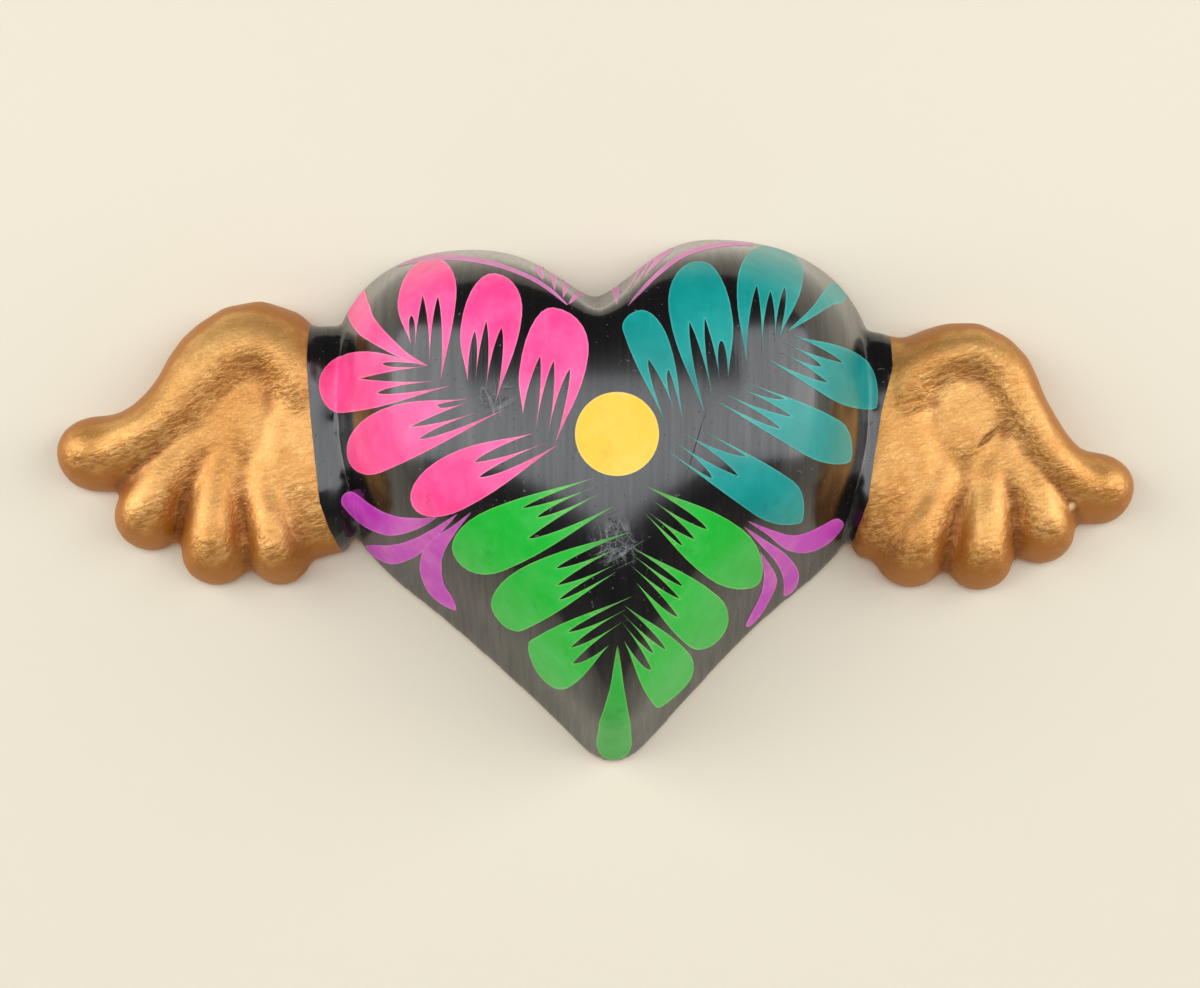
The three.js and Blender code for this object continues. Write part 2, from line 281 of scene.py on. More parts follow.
def part_of_clay(name, keep):
    """One painted part of the clay, with its cut faces closed."""
    bm = bmesh.new()
    bm.from_mesh(clay_form.data)
    left = cut_along(bm, paint_edge(LEFT_PAINT_EDGE))
    right = cut_along(bm, paint_edge(RIGHT_PAINT_EDGE))
    if keep == "middle":
        drop = left | right
    elif keep == "left":
        drop = set(bm.faces) - left
    else:
        drop = set(bm.faces) - right
    bmesh.ops.delete(bm, geom=list(drop), context="FACES")
    rim = [e for e in bm.edges if e.is_boundary]
    for edge in rim:
        edge.smooth = False
    bmesh.ops.holes_fill(bm, edges=rim, sides=0)
    for face in bm.faces:
        face.smooth = True
    return from_bmesh(name, bm)


black_heart = part_of_clay("black_heart", "middle")
gold_left_wing = part_of_clay("gold_left_wing", "left")
gold_right_wing = part_of_clay("gold_right_wing", "right")
bpy.data.objects.remove(clay_form)


# Small marks of handling, from pixels of the picture: where each is, and half its width or its reach

def on_clay(pixel):
    """The place on the clay that is seen at a pixel."""
    hit, _, _, _ = clay_surface.ray_cast(EYE, sight_line(pixel))
    return hit


LONG_SCRATCH = (on_clay((708.6, 401)), on_clay((682, 491)), 0.17 * MM)
NICK = (on_clay((975.5, 449)), on_clay((999.5, 426.5)), 0.7 * MM)
BLOB = (on_clay((1071.5, 506.5)), 1.1 * MM)
SCUFFS = [(on_clay((617, 541)), 6.5 * MM), (on_clay((494, 400)), 5.5 * MM)]


# Finishes are written as sums on the sockets of a material

class Wire:
    """A number that comes out of a node, so that sums on it can be written plainly."""

    def __init__(self, finish, socket):
        self.finish = finish
        self.socket = socket

    def work_out(self, operation, first, second):
        return self.finish.node("Math", {"operation": operation}, {0: first, 1: second})

    def __add__(self, other):
        return self.work_out("ADD", self, other)

    def __radd__(self, other):
        return self.work_out("ADD", other, self)

    def __sub__(self, other):
        return self.work_out("SUBTRACT", self, other)

    def __rsub__(self, other):
        return self.work_out("SUBTRACT", other, self)

    def __mul__(self, other):
        return self.work_out("MULTIPLY", self, other)

    def __rmul__(self, other):
        return self.work_out("MULTIPLY", other, self)

    def __abs__(self):
        return self.finish.node("Math", {"operation": "ABSOLUTE"}, {0: self})


class Finish:
    """A material made of nodes, with one Principled surface."""

    def __init__(self, name):
        self.material = bpy.data.materials.new(name)
        self.material.use_nodes = True
        self.tree = self.material.node_tree
        self.tree.nodes.clear()
        self.surface = self.tree.nodes.new("ShaderNodeBsdfPrincipled")
        self.output = self.tree.nodes.new("ShaderNodeOutputMaterial")
        self.tree.links.new(self.surface.outputs[0], self.output.inputs["Surface"])

    def join(self, socket, value):
        if isinstance(value, Wire):
            self.tree.links.new(value.socket, socket)
        else:
            socket.default_value = value

    def node(self, kind, settings=None, inputs=None, output=0):
        """Adds a node, sets it, joins its inputs and gives one of its outputs."""
        made = self.tree.nodes.new("ShaderNode" + kind)
        for setting, value in (settings or {}).items():
            setattr(made, setting, value)
        for socket, value in (inputs or {}).items():
            self.join(made.inputs[socket], value)
        return Wire(self, made.outputs[output])

    def attribute(self, name):
        return self.node("Attribute", {"attribute_name": name}, output="Fac")

    def noise(self, scale, detail=2, roughness=0.5, stretch=(1, 1, 1), warp=0, turn=0):
        """Soft irregular grains, from 0 to 1. The scale counts them to the metre."""
        place = self.node("TexCoord", output="Object")
        place = self.node("Mapping", inputs={"Vector": place, "Rotation": (0, turn, 0)})
        place = self.node("Mapping", inputs={"Vector": place, "Scale": stretch})
        return self.node("TexNoise", inputs={
            "Vector": place, "Scale": scale, "Detail": detail, "Roughness": roughness, "Distortion": warp,
        })

    def between(self, value, low, high):
        """0 below low, 1 above high and a soft step from one to the other."""
        return self.node("MapRange", {"interpolation_type": "SMOOTHSTEP"}, {
            "Value": value, "From Min": low, "From Max": high,
        })

    def hairlines(self, scale, turn, fineness):
        """Thin scratches that run one way: the places where a long-drawn noise passes its middle."""
        drawn = self.noise(scale, 1, 0.5, stretch=(1, 1, 0.06), turn=turn)
        return 1 - self.between(abs(drawn - 0.5), fineness * 0.4, fineness)

    def mark(self, start, end, half_width):
        """1 on a pointed mark from one place to another, as seen from the front, and 0 away from it."""
        place = self.node("TexCoord", output="Object")
        across = self.node("SeparateXYZ", inputs={0: place}, output="X") - start.x
        up = self.node("SeparateXYZ", inputs={0: place}, output="Z") - start.z
        run = end - start
        run.y = 0
        length = run.length
        beside = abs(across * (run.z / length) - up * (run.x / length))
        share = (across * run.x + up * run.z) * (1 / length ** 2)
        inside = share * (1 - share) * (4 * half_width) - beside
        return self.between(inside, 0, half_width)

    def nearness(self, place, reach):
        """1 at a place, and 0 from a reach away."""
        away = self.node("VectorMath", {"operation": "DISTANCE"}, {
            0: self.node("TexCoord", output="Object"), 1: place,
        }, output="Value")
        return 1 - self.between(away, 0, reach)

    def cracks(self, scale, width):
        """Thin lines round cells of irregular shape."""
        inside = self.node("TexVoronoi", {"feature": "DISTANCE_TO_EDGE"}, {
            "Vector": self.node("TexCoord", output="Object"), "Scale": scale,
        })
        return 1 - self.between(inside, width * 0.3, width)

    def blend(self, share, first, second):
        """One colour turning into another."""
        return self.node("Mix", {"data_type": "RGBA"}, {0: share, 6: first, 7: second}, output=2)

    def pick(self, share, first, second):
        """One number turning into another."""
        return first + (second - first) * share

    def bump(self, height, distance, strength=1.0, under=None):
        inputs = {"Height": height, "Distance": distance, "Strength": strength}
        if under is not None:
            inputs["Normal"] = under
        return self.node("Bump", inputs=inputs)

    def set(self, **sockets):
        for name, value in sockets.items():
            self.join(self.surface.inputs[name.replace("_", " ").title().replace("Ior", "IOR")], value)
        return self.material


def tone(red, green, blue):
    """A colour given as it looks on a screen, 0 to 255, as the linear colour of a material."""
    def linear(part):
        part = part / 255
        return part / 12.92 if part <= 0.04045 else ((part + 0.055) / 1.055) ** 2.4
    return (linear(red), linear(green), linear(blue), 1)


# The finishes. A noise is given by its grains to the metre, its detail and its roughness. A number that
# multiplies a mask is the share of it that shows.

CLAY_DARK = tone(158, 92, 62)
CLAY_LIGHT = tone(190, 122, 88)
CLAY_GRAIN = tone(206, 150, 116)
LACQUER = tone(6, 5, 7)
LACQUER_BRUSHED = tone(16, 13, 14)
DUST = tone(96, 92, 92)
SCRATCHES = tone(128, 128, 132)
GOLD_DULL = tone(200, 138, 66)
GOLD_BRIGHT = tone(224, 170, 98)
GOLD_FLAKE_GLINTS = tone(252, 222, 168)
GOLD_WRINKLE_SHADE = tone(158, 92, 30)
GOLD_THIN_AND_SHADED = tone(176, 108, 32)
GOLD_CREASE_SHADE = tone(134, 68, 22)
GOLD_NICK_SHADE = tone(150, 84, 30)
GOLD_BLOB_HIGHLIGHT = tone(255, 226, 160)
STEEL = tone(158, 158, 160)
RUST = tone(98, 80, 66)
SHOWN_THROUGH = tone(20, 14, 20)
CLAY_ROUGHNESS = 0.85


def terracotta(finish):
    """The colour of bare fired clay, and its grain."""
    cloud = finish.noise(60, 3, 0.6)
    grain = finish.noise(900, 2, 0.7)
    colour = finish.blend(cloud, CLAY_DARK, CLAY_LIGHT)
    colour = finish.blend(finish.between(grain, 0.55, 0.75), colour, CLAY_GRAIN)
    return colour, grain


def black_lacquer():
    finish = Finish("black_lacquer_on_clay")
    clay_colour, grain = terracotta(finish)
    slop = finish.noise(220, 3, 0.6)
    bare = finish.between(finish.attribute("bare") + (slop - 0.5) * 0.25, 0.5, 0.6)
    streaks = finish.noise(105, 4, 0.65, stretch=(12, 1, 0.5))
    ripple = finish.noise(60, 2, 0.5, stretch=(3, 1, 0.6))
    dust = finish.between(finish.noise(1300, 1, 0.5), 0.71, 0.76)
    crumbs = finish.noise(900, 3, 0.8)
    scuff = finish.nearness(*SCUFFS[0]) + finish.nearness(*SCUFFS[1]) * 0.8
    worn = finish.between(scuff + (crumbs - 0.5) * 1.6, 0.5, 0.8) * finish.between(scuff, 0.02, 0.3)
    crazing = finish.cracks(1150, 0.09) * worn
    hairs = finish.hairlines(520, radians(8), 0.02) + finish.hairlines(430, radians(-66), 0.02)
    hairs = hairs * finish.between(scuff, 0.1, 0.7)
    long_scratch = finish.mark(*LONG_SCRATCH)
    paint = finish.blend(streaks, LACQUER, LACQUER_BRUSHED)
    paint = finish.blend(dust * 0.35, paint, DUST)
    paint = finish.blend(crazing * 0.4 + hairs * 0.3, paint, SCRATCHES)
    gloss = 0.13 + streaks * 0.14 + dust * 0.2 + worn * 0.14 + long_scratch * 0.5
    relief = finish.bump(ripple, 0.12 * MM, 0.4)
    relief = finish.bump(streaks, 0.035 * MM, 0.6, relief)
    relief = finish.bump(dust - crazing - hairs - long_scratch, 0.04 * MM, 0.6, relief)
    relief = finish.bump(grain * bare, 0.25 * MM, 0.6, relief)
    return finish.set(
        base_color=finish.blend(bare, paint, clay_colour),
        roughness=finish.pick(bare, gloss, CLAY_ROUGHNESS),
        normal=relief,
        coat_weight=(1 - bare) * (1 - worn) * (1 - long_scratch) * finish.between(streaks, 0.25, 0.8) * 0.5,
        coat_roughness=0.1,
        specular_ior_level=0.62,
    )


def gold_paint():
    finish = Finish("gold_paint_on_clay")
    clay_colour, _ = terracotta(finish)
    slop = finish.noise(260, 3, 0.6)
    bare = finish.between(finish.attribute("bare") + (slop - 0.5) * 0.25, 0.5, 0.6)
    hollow = finish.attribute("hollow")
    wrinkled = finish.attribute("wrinkled")
    steep = finish.attribute("steep")
    nick_with_shade = finish.mark(*NICK)
    blob_with_highlight = finish.nearness(*BLOB)
    brushed = finish.noise(620, 4, 0.7, stretch=(1, 1, 0.5), warp=0.5)
    wrinkles = finish.noise(1500, 3, 0.65, stretch=(0.34, 1, 1), turn=radians(18), warp=0.7)
    gathers = finish.noise(420, 3, 0.6, stretch=(0.4, 1, 1), turn=radians(12), warp=0.8)
    flake_grains_and_glints = finish.noise(2600, 2, 0.8)
    clouds = finish.noise(70, 3, 0.6)
    # thin gold in random patches, and darker brown where the surface turns away from the front: painted shade
    patchy_and_shaded = finish.between(slop + steep * 0.7, 0.5, 1.05)
    colour = finish.blend(finish.between(clouds, 0.3, 0.7), GOLD_DULL, GOLD_BRIGHT)
    # pale specks on the flake grains: painted glints
    colour = finish.blend(finish.between(flake_grains_and_glints, 0.52, 0.78) * 0.5, colour, GOLD_FLAKE_GLINTS)
    # darker in the troughs of the wrinkles, on faces that turn under: painted shade
    colour = finish.blend(finish.between(wrinkles, 0.56, 0.4) * wrinkled * 0.6, colour, GOLD_WRINKLE_SHADE)
    colour = finish.blend(patchy_and_shaded * 0.85, colour, GOLD_THIN_AND_SHADED)
    # darker in the creases: painted shade
    crease = finish.between(hollow + (brushed - 0.5) * 0.3, 0.54, 0.85)
    colour = finish.blend(crease * 0.75, colour, GOLD_CREASE_SHADE)
    # darker in the nick: painted shade
    colour = finish.blend(nick_with_shade * 0.35, colour, GOLD_NICK_SHADE)
    # a pale spot on the blob of gold: painted highlight
    colour = finish.blend(blob_with_highlight, colour, GOLD_BLOB_HIGHLIGHT)
    relief = finish.bump(brushed, 0.14 * MM, 0.6)
    relief = finish.bump(gathers * wrinkled, 0.35 * MM, 0.7, relief)
    relief = finish.bump(wrinkles * wrinkled, 0.3 * MM, 1.0, relief)
    relief = finish.bump(flake_grains_and_glints, 0.05 * MM, 0.6, relief)
    relief = finish.bump(blob_with_highlight * 0.35 - nick_with_shade, 0.42 * MM, 0.9, relief)
    return finish.set(
        base_color=finish.blend(bare, colour, clay_colour),
        metallic=finish.pick(bare, 0.62 - patchy_and_shaded * 0.1, 0),
        roughness=finish.pick(bare, 0.34 + brushed * 0.16 + patchy_and_shaded * 0.06, CLAY_ROUGHNESS),
        normal=relief,
    )


def bare_clay():
    finish = Finish("bare_fired_clay")
    colour, grain = terracotta(finish)
    lumps = finish.noise(240, 3, 0.6)
    relief = finish.bump(lumps, 0.4 * MM, 0.5)
    relief = finish.bump(grain, 0.2 * MM, 0.6, relief)
    return finish.set(base_color=colour, roughness=0.82 + grain * 0.1, normal=relief)


def steel_wire():
    finish = Finish("dull_steel_wire")
    drawn = finish.noise(700, 3, 0.6, stretch=(0.1, 1, 1))
    spots = finish.between(finish.noise(500, 3, 0.6), 0.58, 0.72)
    relief = finish.bump(drawn, 0.03 * MM, 0.5)
    return finish.set(
        base_color=finish.blend(spots, STEEL, RUST),
        metallic=1.0 - spots * 0.6,
        roughness=0.3 + drawn * 0.15 + spots * 0.3,
        normal=relief,
    )


def stroke_paint(name, body, heel_and_sheen, edge, shade):
    """Enamel laid on in one press of a brush: full at the tip, thin where the bristles leave. It is paler
    towards its heel as a painted sheen and has a painted highlight along its edge.
    """
    finish = Finish(name)
    along = finish.attribute("along")
    inward = finish.attribute("inward")
    patches = finish.noise(190, 3, 0.6)
    bristles = finish.noise(300, 3, 0.6, stretch=(4, 1, 0.7))
    specks = finish.between(finish.noise(210, 4, 0.75), 0.56, 0.74)
    thin = finish.between(along + (patches - 0.5) * 0.3, 0.35, 1.0)
    colour = finish.blend(finish.between(patches, 0.35, 0.75) * 0.55, body, heel_and_sheen)
    # paler where the paint thins towards the heel: painted sheen
    colour = finish.blend(thin * 0.6, colour, heel_and_sheen)
    colour = finish.blend(finish.between(bristles, 0.52, 0.8) * 0.3, colour, heel_and_sheen)
    colour = finish.blend(specks * 0.4, colour, shade)
    # a paler rim along the stroke's edge: painted highlight
    colour = finish.blend((1 - finish.between(inward, 0.02, 0.32)) * (patches * 0.7), colour, edge)
    worn_thin = finish.between(along + (bristles - 0.5) * 0.3, 0.68, 1.05)
    colour = finish.blend(worn_thin * 0.4, colour, SHOWN_THROUGH)
    relief = finish.bump(bristles, 0.02 * MM, 0.5)
    return finish.set(base_color=colour, roughness=0.3 + bristles * 0.14, normal=relief,
                      specular_ior_level=0.35, coat_weight=0.12, coat_roughness=0.12)


# Marks that the finishes read. Where the clay is bare: no paint reaches what a brush can't, on the rim and in
# the hollow behind. Where it is steep, where the gold wrinkled and where there is a crease: there the gold
# finish paints shade.

HOLLOW_REACH = 47 * MM  # the hollow of the heart lies within this, either side of the middle
FACES_WALL = 0.85
LEANS_BACK = 0.03
JUST_OFF = 0.1 * MM
STEEP = (0.82, 0.4)
TURNED_UNDER = (-0.05, 0.35)
NOT_STEEP = (0.92, 0.6)
TURNED_SIDEWAYS = (0.4, 1.2)
SIDEWAYS_SHARE = 0.4
CREASE_DEPTH = 0.6 * MM
CREASE_EVENINGS = 14
LEAST_WRINKLED = 0.22
BLUR = 2


def keep_spread(piece, name, values):
    """Keeps one number for each vertex, evened out with those of its neighbours."""
    for _ in range(BLUR):
        sums = list(values)
        counts = [1] * len(values)
        for edge in piece.data.edges:
            a, b = edge.vertices
            sums[a] += values[b]
            sums[b] += values[a]
            counts[a] += 1
            counts[b] += 1
        values = [total / count for total, count in zip(sums, counts)]
    set_values(piece, name, values)


def mark_bare(piece):
    values = []
    for vertex, normal in zip(piece.data.vertices, piece.data.vertex_normals):
        facing = normal.vector
        inside = False
        if facing.y > LEANS_BACK and abs(vertex.co.x) < HOLLOW_REACH:
            start = vertex.co + facing * JUST_OFF
            opposite, _, _, _ = clay_surface.ray_cast(start, Vector((facing.x, 0, facing.z)).normalized())
            inside = opposite is not None
        values.append(1.0 if inside or facing.y > FACES_WALL else 0.0)
    keep_spread(piece, "bare", values)


def mark_steep(piece):
    """Where the surface turns away from the front, which the gold finish paints darker as painted shade."""
    values = [smooth_step(*STEEP, -normal.vector.y) for normal in piece.data.vertex_normals]
    keep_spread(piece, "steep", values)


def mark_wrinkled(piece):
    """The paint wrinkled where it ran down and gathered: on faces that turn under but aren't steep yet."""
    values = []
    for normal in piece.data.vertex_normals:
        turned = -normal.vector.z
        down = smooth_step(*TURNED_UNDER, turned) * smooth_step(*NOT_STEEP, turned)
        sideways = smooth_step(*TURNED_SIDEWAYS, abs(normal.vector.x)) * SIDEWAYS_SHARE
        values.append(min(1, LEAST_WRINKLED + down + sideways))
    keep_spread(piece, "wrinkled", values)


def mark_hollow(piece):
    """How deep a place lies in a crease, 0.5 where the surface is flat."""
    bm = bmesh.new()
    bm.from_mesh(piece.data)
    start = [v.co.copy() for v in bm.verts]
    evened(bm, bm.verts, CREASE_EVENINGS)
    depths = []
    for vertex, place in zip(bm.verts, start):
        depths.append((vertex.co - place).dot(piece.data.vertex_normals[vertex.index].vector))
    bm.free()
    set_values(piece, "hollow", [0.5 + depth / CREASE_DEPTH for depth in depths])


mark_bare(black_heart)
for wing in (gold_left_wing, gold_right_wing):
    mark_bare(wing)
    mark_steep(wing)
    mark_hollow(wing)
    mark_wrinkled(wing)

black_heart.data.materials.append(black_lacquer())
gold = gold_paint()
gold_left_wing.data.materials.append(gold)
gold_right_wing.data.materials.append(gold)

for piece, slot, stands_for in (
    (black_heart, "black_lacquer", ("heart_shell", "left_neck", "right_neck")),
    (gold_left_wing, "gold_paint", ("left_wing",)),
    (gold_right_wing, "gold_paint", ("right_wing",)),
):
    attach(piece, "root")
    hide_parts(*stands_for)


# Hanging wire and the wads of clay that hold it

WAD_SPREAD = 0.3 * MM  # a wad sticks to the shell
WAD_VOXEL = 0.5 * MM
WAD_EVENINGS = 6
WIRE_LEVELS = 2

clay_finish = bare_clay()
for name in ("left_wire_pad", "right_wire_pad"):
    wad = from_bmesh(name.replace("wire_pad", "wad_of_clay"), node_copy(name, fatten=WAD_SPREAD))
    remeshed(wad, WAD_VOXEL)
    smoothed(wad, WAD_EVENINGS)
    shade_smooth(wad)
    wad.data.materials.clear()
    wad.data.materials.append(clay_finish)
    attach(wad, "root")
    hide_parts(name)

nail_wire = from_bmesh("nail_wire", node_copy("hanging_wire"))
subdivided(nail_wire, WIRE_LEVELS)
shade_smooth(nail_wire)
nail_wire.data.materials.clear()
nail_wire.data.materials.append(steel_wire())
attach(nail_wire, "root")
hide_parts("hanging_wire")


# Brush strokes. Each is laid out on the picture and pressed onto the clay along the line of sight.

HEART_MIDDLE = (606, 430)
DRAW_IN = 0.5  # pixels at a time
PAINT_STOPS = 1.2 * MM  # no stroke reaches nearer to the wall than this
PAINT_LIFT = 0.06 * MM
PAINT_SKIRT = 0.2 * MM
LONGEST_EDGE = 0.8 * MM
SHARP_EDGE = radians(50)
SPLITS = 2
CURVE_STEPS = 7
CAP_STEPS = 8
HANDLES = 6  # a path leaves a point along a sixth of the way between the points beside it
POINTED_HALF = 0.3
SAME_SPOT = 0.05
ON_LINE = 1e-4
EDGE_WIDTH = 6  # pixels to a unit of how far in a place lies
TURNED_AWAY = 0.4  # where the clay faces the eye less than this, the paint's edge is evened out
EVENINGS = 14

# How the curves of a petal bend, as shares of the way that each goes
ROUND_TIP = 0.55
TO_TIP = 0.6
FROM_TINE = 0.4
TINE_SIDE = 0.35
TINE_WAIST = 0.55
SLIT_WAIST = 0.4
SLIT_POINT = 0.12


def point(pair):
    return Vector((pair[0], pair[1], 0))


def curve(start, leave, arrive, end, steps=CURVE_STEPS):
    """The points of one cubic curve, without its last."""
    return interpolate_bezier(start, leave, arrive, end, steps + 1)[:-1]


def petal_outline(tines, slits, widest, tip, pointed=0):
    """A comb stroke: round its tip from the first tine to the last, and back in and out of the slits."""
    roundness = ROUND_TIP * (1 - pointed)
    tines = [point(t) for t in tines]
    slits = [point(s) for s in slits]
    near, far = [point(w) for w in widest]
    tip = point(tip)
    first = tines[0]
    last = tines[-1]
    axis = (tip - (first + last) / 2).normalized()
    across = Vector((-axis.y, axis.x, 0))
    if (far - near).dot(across) < 0:
        across = -across
    outline = []
    outline += curve(first, first.lerp(near, TINE_SIDE),
                     near - axis * ((near - first).dot(axis) * FROM_TINE), near)
    outline += curve(near, near + axis * ((tip - near).dot(axis) * TO_TIP),
                     tip - across * ((tip - near).dot(across) * roundness), tip)
    outline += curve(tip, tip + across * ((far - tip).dot(across) * roundness),
                     far + axis * ((tip - far).dot(axis) * TO_TIP), far)
    outline += curve(far, far - axis * ((far - last).dot(axis) * FROM_TINE),
                     last.lerp(far, TINE_SIDE), last)
    roots = [slits[0].lerp(near, 0.5)]
    roots += [a.lerp(b, 0.5) for a, b in zip(slits, slits[1:])]
    roots.append(slits[-1].lerp(far, 0.5))
    for index in range(len(slits) - 1, -1, -1):
        slit = slits[index]
        mouth = tines[index].lerp(tines[index + 1], 0.5)
        for tine in (index + 1, index):
            by_tine = tines[tine].lerp(roots[tine], TINE_WAIST)
            by_slit = slit.lerp(roots[tine], SLIT_WAIST).lerp(mouth, SLIT_POINT)
            if tine > index:
                outline += curve(tines[tine], by_tine, by_slit, slit)
            else:
                outline += curve(slit, by_slit, by_tine, tines[tine])
    return outline


def stroke_outline(path, widths):
    """A plain stroke along a path, with its width at each point and a round end where it is blunt."""
    points = [point(p) for p in path]
    centres = []
    halves = []
    for index in range(len(points) - 1):
        a = points[max(index - 1, 0)]
        b = points[index]
        c = points[index + 1]
        d = points[min(index + 2, len(points) - 1)]
        piece = interpolate_bezier(b, b + (c - a) / HANDLES, c - (d - b) / HANDLES, c, CURVE_STEPS)
        for step, centre in enumerate(piece[:-1]):
            share = step / (CURVE_STEPS - 1)
            centres.append(centre)
            halves.append((widths[index] * (1 - share) + widths[index + 1] * share) / 2)
    centres.append(points[-1])
    halves.append(widths[-1] / 2)
    left = []
    right = []
    for index, centre in enumerate(centres):
        ahead = centres[min(index + 1, len(centres) - 1)]
        behind = centres[max(index - 1, 0)]
        heading = (ahead - behind).normalized()
        side = Vector((-heading.y, heading.x, 0)) * halves[index]
        left.append(centre + side)
        right.append(centre - side)
    heading = (centres[-1] - centres[-2]).normalized()
    side = Vector((-heading.y, heading.x, 0))
    cap = []
    for step in range(1, CAP_STEPS):
        turn = pi / 2 - pi * step / CAP_STEPS
        cap.append(centres[-1] + side * (halves[-1] * sin(turn)) + heading * (halves[-1] * cos(turn)))
    if halves[0] < POINTED_HALF:
        left = left[1:]
        right[0] = centres[0]
    return left + cap + right[::-1]


def distance_to_outline(spot, outline):
    best = inf
    for a, b in zip(outline, outline[1:] + outline[:1]):
        span = b - a
        length = span.length_squared
        share = max(0, min(1, (spot - a).dot(span) / length)) if length > 0 else 0
        best = min(best, (spot - a - span * share).length)
    return best


def seen_on_clay(spot):
    """Where paint lies at a spot of the picture. A spot beside the clay is drawn in until it is on it."""
    while True:
        hit, normal, _, _ = clay_surface.ray_cast(EYE, sight_line(spot))
        if hit is not None and -hit.y > PAINT_STOPS:
            return hit + normal * PAINT_LIFT
        spot = spot + (point(HEART_MIDDLE) - spot).normalized() * DRAW_IN


def follow_clay(bm):
    """Splits long edges and lays their middles on the clay."""
    for _ in range(SPLITS):
        long = [e for e in bm.edges if e.calc_length() > LONGEST_EDGE]
        split = bmesh.ops.subdivide_edges(bm, edges=long, cuts=1)
        for vertex in [part for part in split["geom_inner"] if isinstance(part, bmesh.types.BMVert)]:
            hit, normal, _, _ = clay_surface.find_nearest(vertex.co)
            vertex.co = hit + normal * PAINT_LIFT
        bmesh.ops.triangulate(bm, faces=[f for f in bm.faces if len(f.verts) > 3])


def even_out(bm):
    """Evens out the paint where the clay turns away from the eye and a stroke is drawn out long."""
    far = set()
    for vertex in bm.verts:
        _, normal, _, _ = clay_surface.find_nearest(vertex.co)
        if normal.dot((EYE - vertex.co).normalized()) < TURNED_AWAY:
            far.add(vertex)
    for _ in range(EVENINGS):
        moves = []
        for vertex in far:
            edges = [e for e in vertex.link_edges if e.is_boundary] or vertex.link_edges
            beside = [e.other_vert(vertex).co for e in edges]
            moves.append((vertex, vertex.co.lerp(sum(beside, Vector()) / len(beside), EVEN_SHARE)))
        for vertex, place in moves:
            vertex.co = place
    for vertex in far:
        hit, normal, _, _ = clay_surface.find_nearest(vertex.co)
        vertex.co = hit + normal * PAINT_LIFT


def lay_stroke(bm, outline, tip, root, cell):
    """Adds one stroke to a bmesh, on the clay. Keeps how far along and how far in each point lies."""
    flat = bmesh.new()
    kept = []
    for spot in outline:
        if not kept or (spot - kept[-1]).length > SAME_SPOT:
            kept.append(spot)
    if (kept[0] - kept[-1]).length < SAME_SPOT:
        kept.pop()
    corners = [flat.verts.new(spot) for spot in kept]
    face = flat.faces.new(corners)
    face.normal_update()
    bmesh.ops.triangulate(flat, faces=[face])
    low = Vector((min(s.x for s in kept), min(s.y for s in kept), 0))
    high = Vector((max(s.x for s in kept), max(s.y for s in kept), 0))
    for normal in (Vector((1, 0, 0)), Vector((0, 1, 0))):
        place = low.dot(normal) + cell
        while place < high.dot(normal):
            bmesh.ops.bisect_plane(flat, geom=flat.verts[:] + flat.edges[:] + flat.faces[:], dist=ON_LINE,
                                   plane_co=normal * place, plane_no=normal)
            place += cell
    bmesh.ops.triangulate(flat, faces=flat.faces[:])
    along_layer = bm.verts.layers.float["along"]
    inward_layer = bm.verts.layers.float["inward"]
    axis = point(root) - point(tip)
    laid = {}
    for vertex in flat.verts:
        spot = vertex.co.copy()
        made = bm.verts.new(seen_on_clay(spot))
        made[along_layer] = max(0, min(1, (spot - point(tip)).dot(axis) / axis.length_squared))
        made[inward_layer] = distance_to_outline(spot, kept) / EDGE_WIDTH
        laid[vertex] = made
    faces = [bm.faces.new([laid[v] for v in face.verts]) for face in flat.faces]
    flat.free()
    bm.normal_update()
    if sum(f.normal.dot(EYE - f.calc_center_median()) for f in faces) < 0:
        bmesh.ops.reverse_faces(bm, faces=faces)


def painted(name, strokes, finish, cell):
    """One colour of paint: every stroke laid on the clay with a thin edge."""
    bm = bmesh.new()
    bm.verts.layers.float.new("along")
    bm.verts.layers.float.new("inward")
    for outline, tip, root in strokes:
        lay_stroke(bm, outline, tip, root, cell)
    follow_clay(bm)
    even_out(bm)
    for face in bm.faces:
        face.smooth = True
    piece = from_bmesh(name, bm)
    with_modifier(piece, "SOLIDIFY", thickness=PAINT_SKIRT, offset=-1)
    piece.data.set_sharp_from_angle(angle=SHARP_EDGE)
    piece.data.materials.append(finish)
    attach(piece, "root")


def petals(table):
    return [(petal_outline(**petal), petal["tip"], petal["tines"][len(petal["tines"]) // 2])
            for petal in table.values()]


def plain_strokes(table):
    return [(stroke_outline(stroke["path"], stroke["widths"]), stroke["path"][-1], stroke["path"][0])
            for stroke in table.values()]


# Every place below is a pixel of the picture: a petal's tine ends, the deep ends of its slits, its widest
# places and its tip

